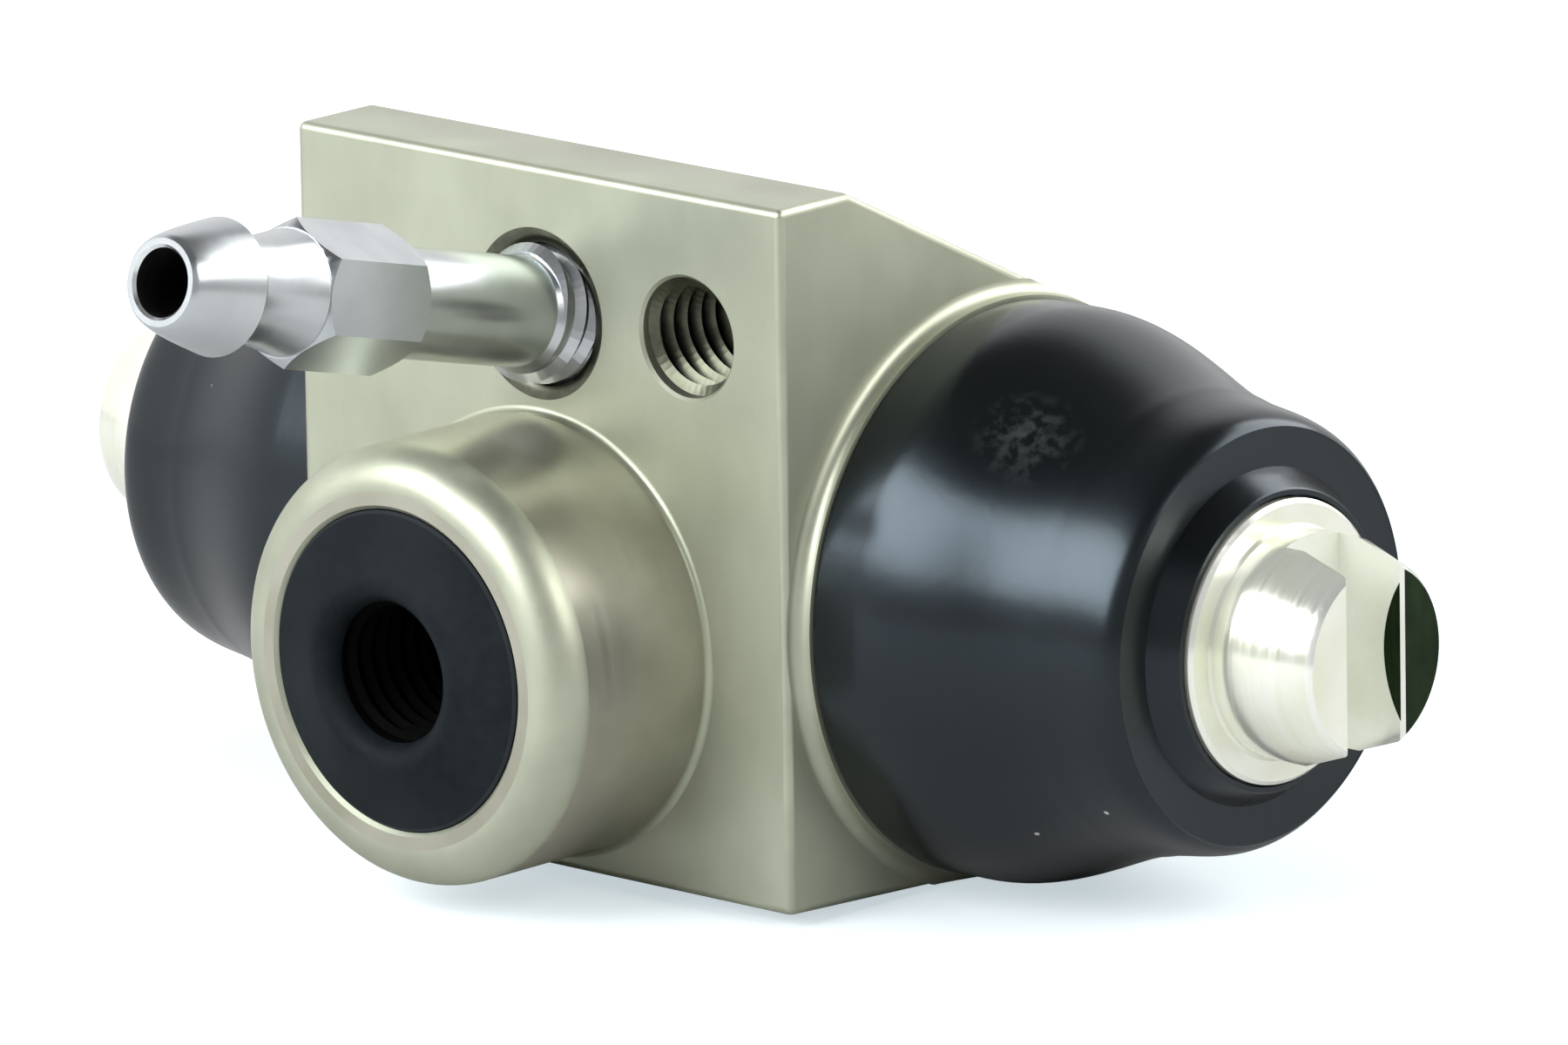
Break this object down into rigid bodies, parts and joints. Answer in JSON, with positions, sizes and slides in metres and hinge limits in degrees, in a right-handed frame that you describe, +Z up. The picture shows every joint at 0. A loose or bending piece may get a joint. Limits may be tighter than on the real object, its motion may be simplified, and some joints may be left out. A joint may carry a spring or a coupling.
{
  "type": "wheel cylinder",
  "caption": "Drum brake wheel cylinder: a steel block with a through bore, opposed slotted pistons under rubber boots, a round inlet boss and a tilted bleed screw.",
  "frame": {"origin": "on the axis of the locating boss, in the plane of the mounting face", "axes": "+X along the bore, -Y out of the mounting face along the boss, +Z up towards the bleed screw"},
  "size_m": [0.0818, 0.0565, 0.0372],
  "materials": {
    "plated_body": "satin zinc plating with a pale green cast",
    "plated_piston": "bright zinc plating, turned",
    "bleed_steel": "bright zinc plating",
    "pressed_steel": "bare pressed sheet",
    "spring_steel": "drawn wire",
    "boot_rubber": "semi-gloss moulded rubber",
    "seal_rubber": "smooth moulded rubber",
    "plug_plastic": "matte moulded plastic"
  },
  "bodies": {
    "housing": {"cylinder_body": "plated_body", "left_boot": "boot_rubber", "right_boot": "boot_rubber", "return_spring": "spring_steel", "inlet_plug": "plug_plastic"},
    "left_piston": {"left_piston": "plated_piston", "left_cup_seal": "seal_rubber", "left_cup_expander": "pressed_steel"},
    "right_piston": {"right_piston": "plated_piston", "right_cup_seal": "seal_rubber", "right_cup_expander": "pressed_steel"},
    "bleed_screw": {"bleed_screw": "bleed_steel"}
  },
  "joints": [
    {"name": "left_piston_slide", "type": "slide", "parent": "housing", "child": "left_piston", "axis": [-1, 0, 0], "range_m": [-0.004, 0.006], "stiffness_N_per_m": 800, "deforming": ["left_boot", "return_spring"]},
    {"name": "right_piston_slide", "type": "slide", "parent": "housing", "child": "right_piston", "axis": [1, 0, 0], "range_m": [-0.004, 0.006], "stiffness_N_per_m": 800, "deforming": ["right_boot", "return_spring"]},
    {"name": "bleed_screw_turn", "type": "hinge", "parent": "housing", "child": "bleed_screw", "pos_m": [0, 0, 0.016], "axis": [0, -0.9724, 0.2334], "range_deg": [0, 360]}
  ]
}
